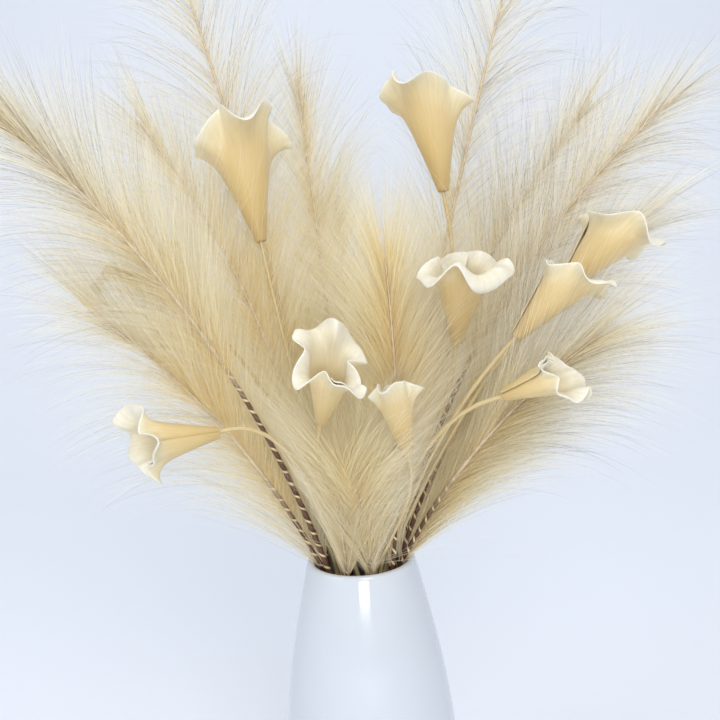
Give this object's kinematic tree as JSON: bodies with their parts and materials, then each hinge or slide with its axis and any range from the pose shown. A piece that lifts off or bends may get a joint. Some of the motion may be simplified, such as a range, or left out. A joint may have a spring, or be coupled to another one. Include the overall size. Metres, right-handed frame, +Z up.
{
  "type": "bunch of reeds in a vase",
  "caption": "Fan of soft feathery reed plumes with cream calla lilies among them, standing in a plain white glazed vase with a narrow mouth.",
  "frame": {"origin": "middle of the vase's flat foot, on the surface it stands on", "axes": "+Z up along the vase's axis; the bunch faces -Y, with the low plumes and most lilies in front; +X to its right as seen from the front"},
  "size_m": [0.4131, 0.2434, 0.63],
  "materials": {
    "glaze": "smooth glossy white glaze, faintly bluish",
    "reed stem": "thin brown stem wound with cream strands",
    "plume": "fine silky hair, golden where it is dense and pale at the tips",
    "lily stem": "smooth pale green stem",
    "spathe": "soft cream skin with fine lengthwise veins"
  },
  "bodies": {
    "root": {"vase": "glaze", "reed_stem_far_right": "reed stem", "plume_far_right": "plume", "reed_stem_high_right": "reed stem", "plume_high_right": "plume", "reed_stem_tall_right": "reed stem", "plume_tall_right": "plume", "reed_stem_back_middle": "reed stem", "plume_back_middle": "plume", "reed_stem_back_left": "reed stem", "plume_back_left": "plume", "reed_stem_tall_left": "reed stem", "plume_tall_left": "plume", "reed_stem_high_left": "reed stem", "plume_high_left": "plume", "reed_stem_far_left": "reed stem", "plume_far_left": "plume", "reed_stem_low_left": "reed stem", "plume_low_left": "plume", "reed_stem_front_left": "reed stem", "plume_front_left": "plume", "reed_stem_front_centre": "reed stem", "plume_front_centre": "plume", "reed_stem_low_right": "reed stem", "plume_low_right": "plume", "reed_stem_side_right": "reed stem", "plume_side_right": "plume", "reed_stem_front_middle": "reed stem", "plume_front_middle": "plume", "lily_stem_right_end": "lily stem", "spathe_right_end": "spathe", "lily_stem_upper_right": "lily stem", "spathe_upper_right": "spathe", "lily_stem_upper_left": "lily stem", "spathe_upper_left": "spathe", "lily_stem_left_side": "lily stem", "spathe_left_side": "spathe", "lily_stem_lower_left": "lily stem", "spathe_lower_left": "spathe", "lily_stem_front_left": "lily stem", "spathe_front_left": "spathe", "lily_stem_middle": "lily stem", "spathe_middle": "spathe", "lily_stem_front_right": "lily stem", "spathe_front_right": "spathe", "lily_stem_lower_right": "lily stem", "spathe_lower_right": "spathe", "lily_stem_right_inner": "lily stem", "spathe_right_inner": "spathe", "lily_stem_right_side": "lily stem", "spathe_right_side": "spathe"}
  },
  "joints": []
}
